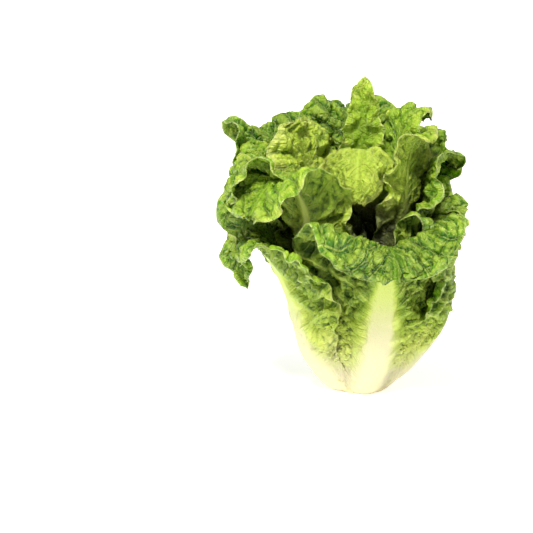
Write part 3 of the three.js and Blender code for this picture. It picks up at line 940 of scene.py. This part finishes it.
def make_leaf(place, name, leaf, blade, length):
    factor = REFINE_DEEP if name in HIDDEN_DEEP else REFINE
    grid, s, v, masks, maps = detailed(blade, leaf, length, factor, DETAIL_SEED + SEED_STEP * place)
    vertices, quads, inner = skin(grid, s, v)
    floats = {key: np.tile(mask.ravel(), 2) for key, mask in masks.items()}
    floats["inner"] = inner
    # Outer leaves get the painted shade on their inner face only.
    if name not in HEART_SLOT:
        floats["deep"] = floats["deep"] * inner
    uvs = {key: np.tile(values.reshape(-1, 2), (2, 1)) for key, values in maps.items()}
    material = leaf_material(name.replace("leaf_", "green_"), leaf["tone"], leaf["relief"])
    piece = mesh_object(name + "_blade", vertices * UNIT, quads, floats, uvs, material)
    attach(piece, "root")
    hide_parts(name)


def make_leaves():
    smooth_blades = [smooth_blade(leaf) for leaf in LEAVES.values()]
    blades = [placed(grid, name) for name, (grid, _) in zip(LEAVES, smooth_blades)]
    lengths = [length for _, length in smooth_blades]
    ready = zip(LEAVES, LEAVES.values(), grown(blades, LEAVES.values()), lengths)
    for place, (name, leaf, blade, length) in enumerate(ready):
        make_leaf(place, name, leaf, blade, length)


def make_stem():
    """The stem's cone with a rounded rim, a slightly dished cut face and a lumpy side."""
    low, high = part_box("stem")
    radius, height = (high.x - low.x) / 2, high.z - low.z
    outline = [(across * radius, 0, up * height) for across, up in STEM_PROFILE]
    curve, _ = through(outline, np.linspace(0, 1, STEM_RINGS))
    turn = np.linspace(0, 2 * np.pi, STEM_SIDES, endpoint=False)
    ring = np.stack([np.cos(turn), np.sin(turn), np.zeros(STEM_SIDES)], -1)
    grid = curve[:, None, :1] * ring[None] + curve[:, None, 2:] * [0, 0, 1]
    rising = smooth(curve[:, 2] / (LUMP_BAND * UNIT))[:, None]
    lumps = noise(grid / (LUMP_SIZE * UNIT), LUMP_SEED, 2) * LUMP * UNIT * rising
    grid = grid + ring[None] * lumps[..., None]
    grid[..., 2] = np.maximum(grid[..., 2], 0)
    at = np.arange(STEM_RINGS * STEM_SIDES).reshape(STEM_RINGS, STEM_SIDES)
    ahead = np.roll(at, -1, axis=1)
    quads = np.stack([at[:-1], ahead[:-1], ahead[1:], at[1:]], -1).reshape(-1, 4)
    cut = np.repeat(smooth(1 - curve[:, 2] / (CUT_BAND * UNIT)), STEM_SIDES)
    piece = mesh_object("stem_core", grid.reshape(-1, 3), quads, {"cut": cut}, {}, stem_material())
    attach(piece, "root")
    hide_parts("stem")


# ---- the studio ------------------------------------------------------------------------------------

FLOOR_REACH = 14.0  # half the floor's side, in metres
KEY_FROM, KEY_SOFTNESS, KEY_STRENGTH = (-0.25, -0.9, 1.25), 14, 4.3
OVERHEAD_FROM, OVERHEAD_SOFTNESS, OVERHEAD_STRENGTH = (0.3, 0.1, 1.0), 70, 0.8
SKY_STRENGTH = 0.30
CAMERA_DISTANCE = 6.5  # this and the next three are in heads' heights
VIEW_WIDTH = 1.745  # that the camera sees at the head
AIM_LEFT, AIM_UP = 0.308, 0.3985  # where it looks: left of the head's foot, then up the picture
CAMERA_ELEVATION = 10  # degrees
SENSOR_WIDTH = 36


def aim(thing, at):
    thing.rotation_mode = "QUATERNION"
    thing.rotation_quaternion = (Vector(at) - thing.location).to_track_quat("-Z", "Y")


def make_floor():
    mesh = bpy.data.meshes.new("studio_floor")
    side = FLOOR_REACH
    corners = [(-side, -side, 0), (side, -side, 0), (side, side, 0), (-side, side, 0)]
    mesh.from_pydata(corners, [], [(0, 1, 2, 3)])
    n = Nodes("studio_white")
    n.surface("Base Color", FLOOR_WHITE)
    n.surface("Roughness", 0.7)
    n.surface("Emission Color", FLOOR_GLOW)
    n.surface("Emission Strength", GLOW_STRENGTH)
    mesh.materials.append(n.material)
    floor = bpy.data.objects.new("studio_floor", mesh)
    bpy.context.scene.collection.objects.link(floor)


def sun(name, place, at, softness, strength):
    """A distant soft light, so that the floor is lit alike as far as it reaches."""
    light = bpy.data.lights.new(name, "SUN")
    light.angle, light.energy = math.radians(softness), strength
    holder = bpy.data.objects.new(name, light)
    holder.location = place
    aim(holder, at)
    bpy.context.scene.collection.objects.link(holder)


def make_camera(height):
    """The head stands to the right of the middle, seen from a little above."""
    camera = bpy.data.cameras.new("camera")
    holder = bpy.data.objects.new("camera", camera)
    distance, elevation = CAMERA_DISTANCE * height, math.radians(CAMERA_ELEVATION)
    upright = Vector((0, math.sin(elevation), math.cos(elevation)))
    target = Vector((-AIM_LEFT * height, 0, 0)) + AIM_UP * height * upright
    holder.location = target + distance * Vector((0, -math.cos(elevation), math.sin(elevation)))
    aim(holder, target)
    camera.sensor_width = SENSOR_WIDTH
    camera.lens = SENSOR_WIDTH * distance / (VIEW_WIDTH * height)
    bpy.context.scene.collection.objects.link(holder)
    bpy.context.scene.camera = holder


def make_studio():
    make_floor()
    height = HEAD_HEIGHT * UNIT
    middle = (0, 0, height * 0.5)
    sun("key", KEY_FROM, middle, KEY_SOFTNESS, KEY_STRENGTH)
    sun("overhead", OVERHEAD_FROM, middle, OVERHEAD_SOFTNESS, OVERHEAD_STRENGTH)
    scene = bpy.context.scene
    scene.world = bpy.data.worlds.new("studio")
    scene.world.use_nodes = True
    sky = scene.world.node_tree.nodes["Background"]
    sky.inputs["Color"].default_value = (1, 1, 1, 1)
    sky.inputs["Strength"].default_value = SKY_STRENGTH
    scene.view_settings.view_transform = "Standard"
    scene.view_settings.look = "None"
    make_camera(height)


make_stem()
make_leaves()
make_studio()
